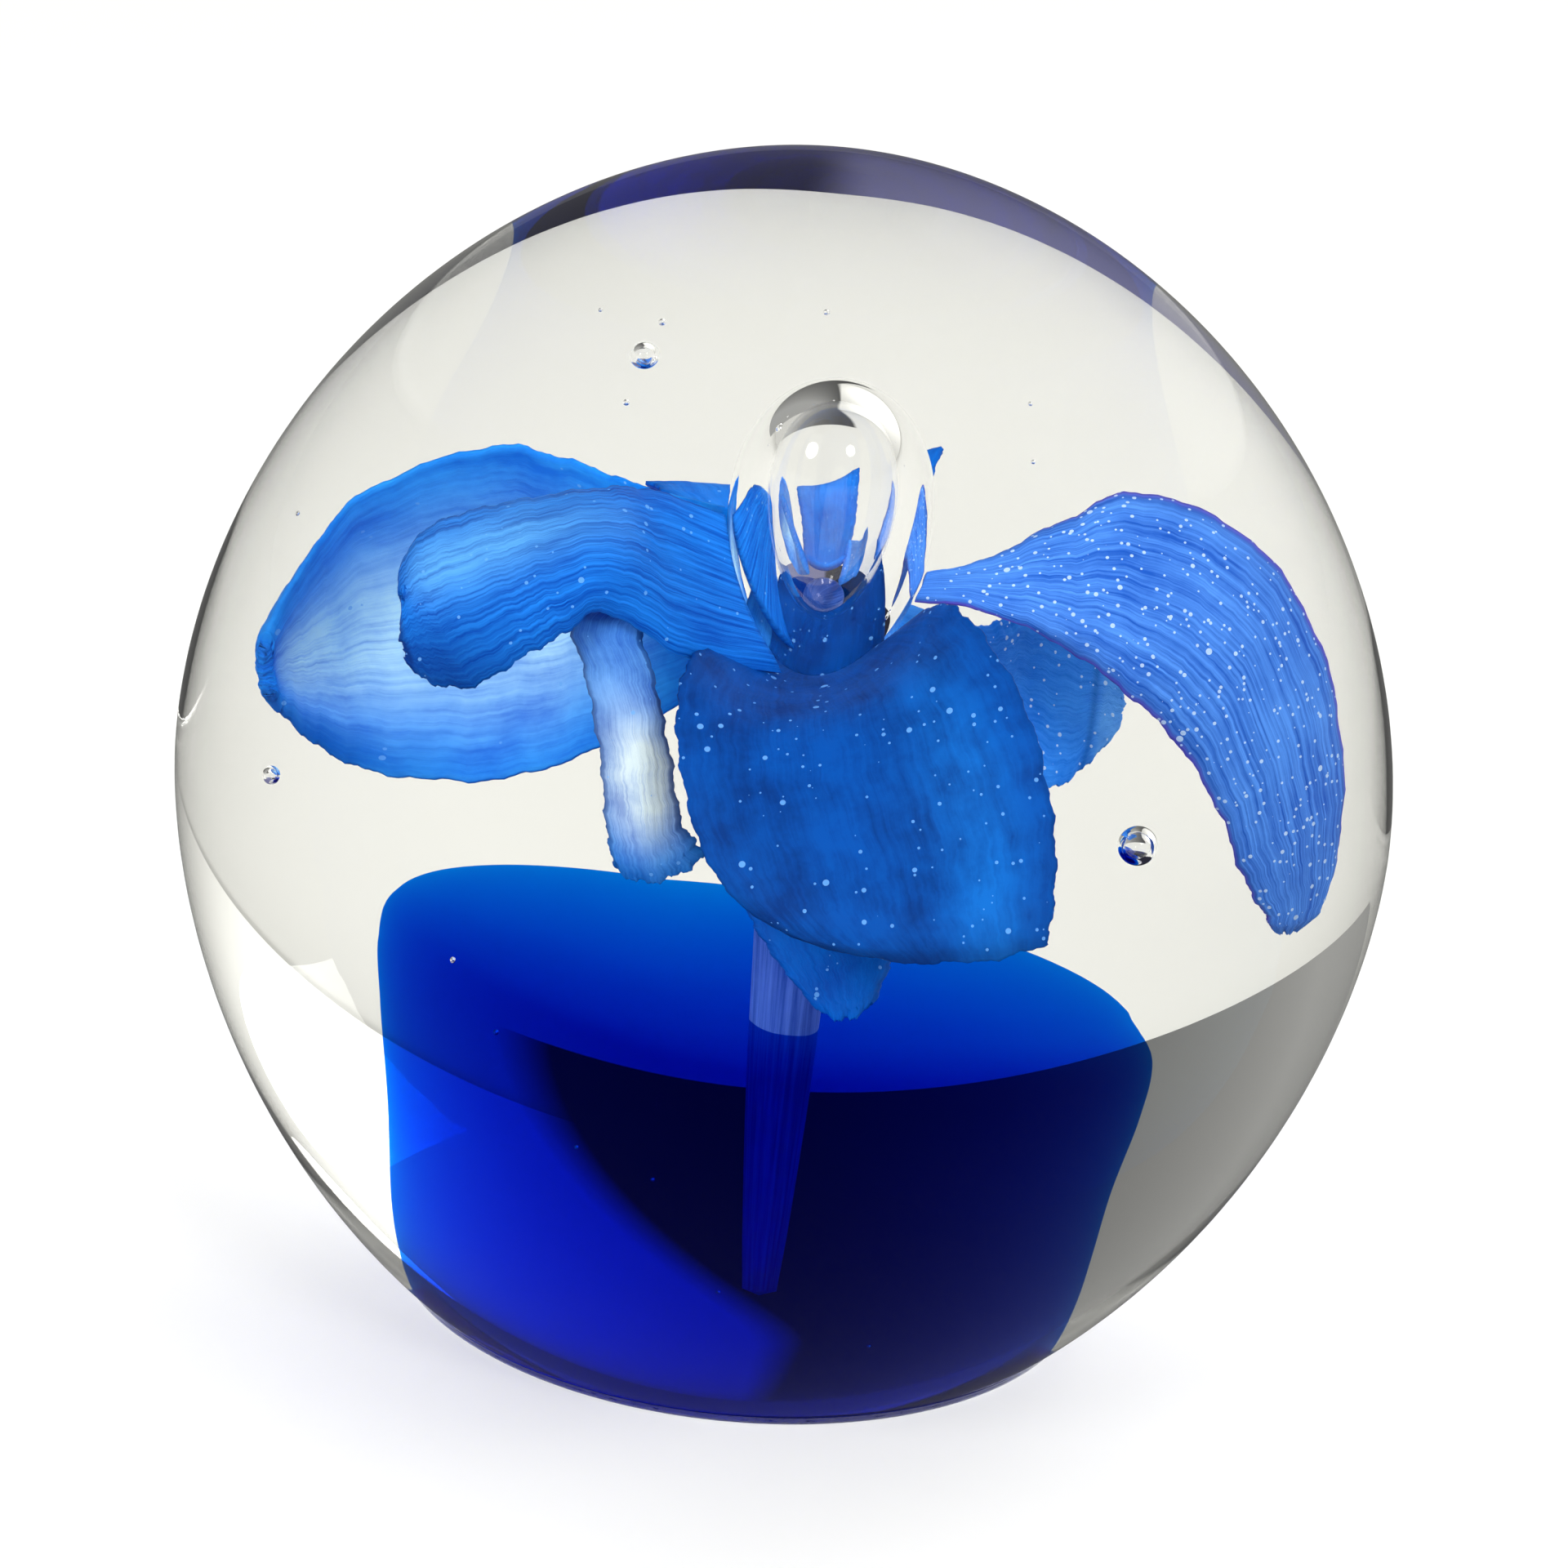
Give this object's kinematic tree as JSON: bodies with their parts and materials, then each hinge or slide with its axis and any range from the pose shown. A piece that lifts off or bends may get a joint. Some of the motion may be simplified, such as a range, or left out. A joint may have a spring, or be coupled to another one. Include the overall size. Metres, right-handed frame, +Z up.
{
  "type": "glass paperweight",
  "caption": "Round art-glass paperweight with a flat foot: clear glass closed round a blue drooping flower, an air bubble at its heart and a cobalt base; holds paper down.",
  "frame": {"origin": "centre of the ground foot, on the table", "axes": "+Z up through the top of the ball; the front petal faces -Y"},
  "size_m": [0.08, 0.08, 0.0779],
  "materials": {
    "clear_crystal": "polished clear",
    "cobalt_glass": "polished deep blue",
    "petal_enamel": "blue enamel, streaked",
    "stem_enamel": "pale drawn thread"
  },
  "bodies": {
    "root": {"clear_body": "clear_crystal", "cobalt_base": "cobalt_glass", "flower_stem": "stem_enamel", "petal_front": "petal_enamel", "petal_front_under": "petal_enamel", "petal_right": "petal_enamel", "petal_back_right": "petal_enamel", "petal_back": "petal_enamel", "petal_back_left": "petal_enamel", "petal_left": "petal_enamel", "petal_front_left": "petal_enamel"}
  },
  "joints": []
}
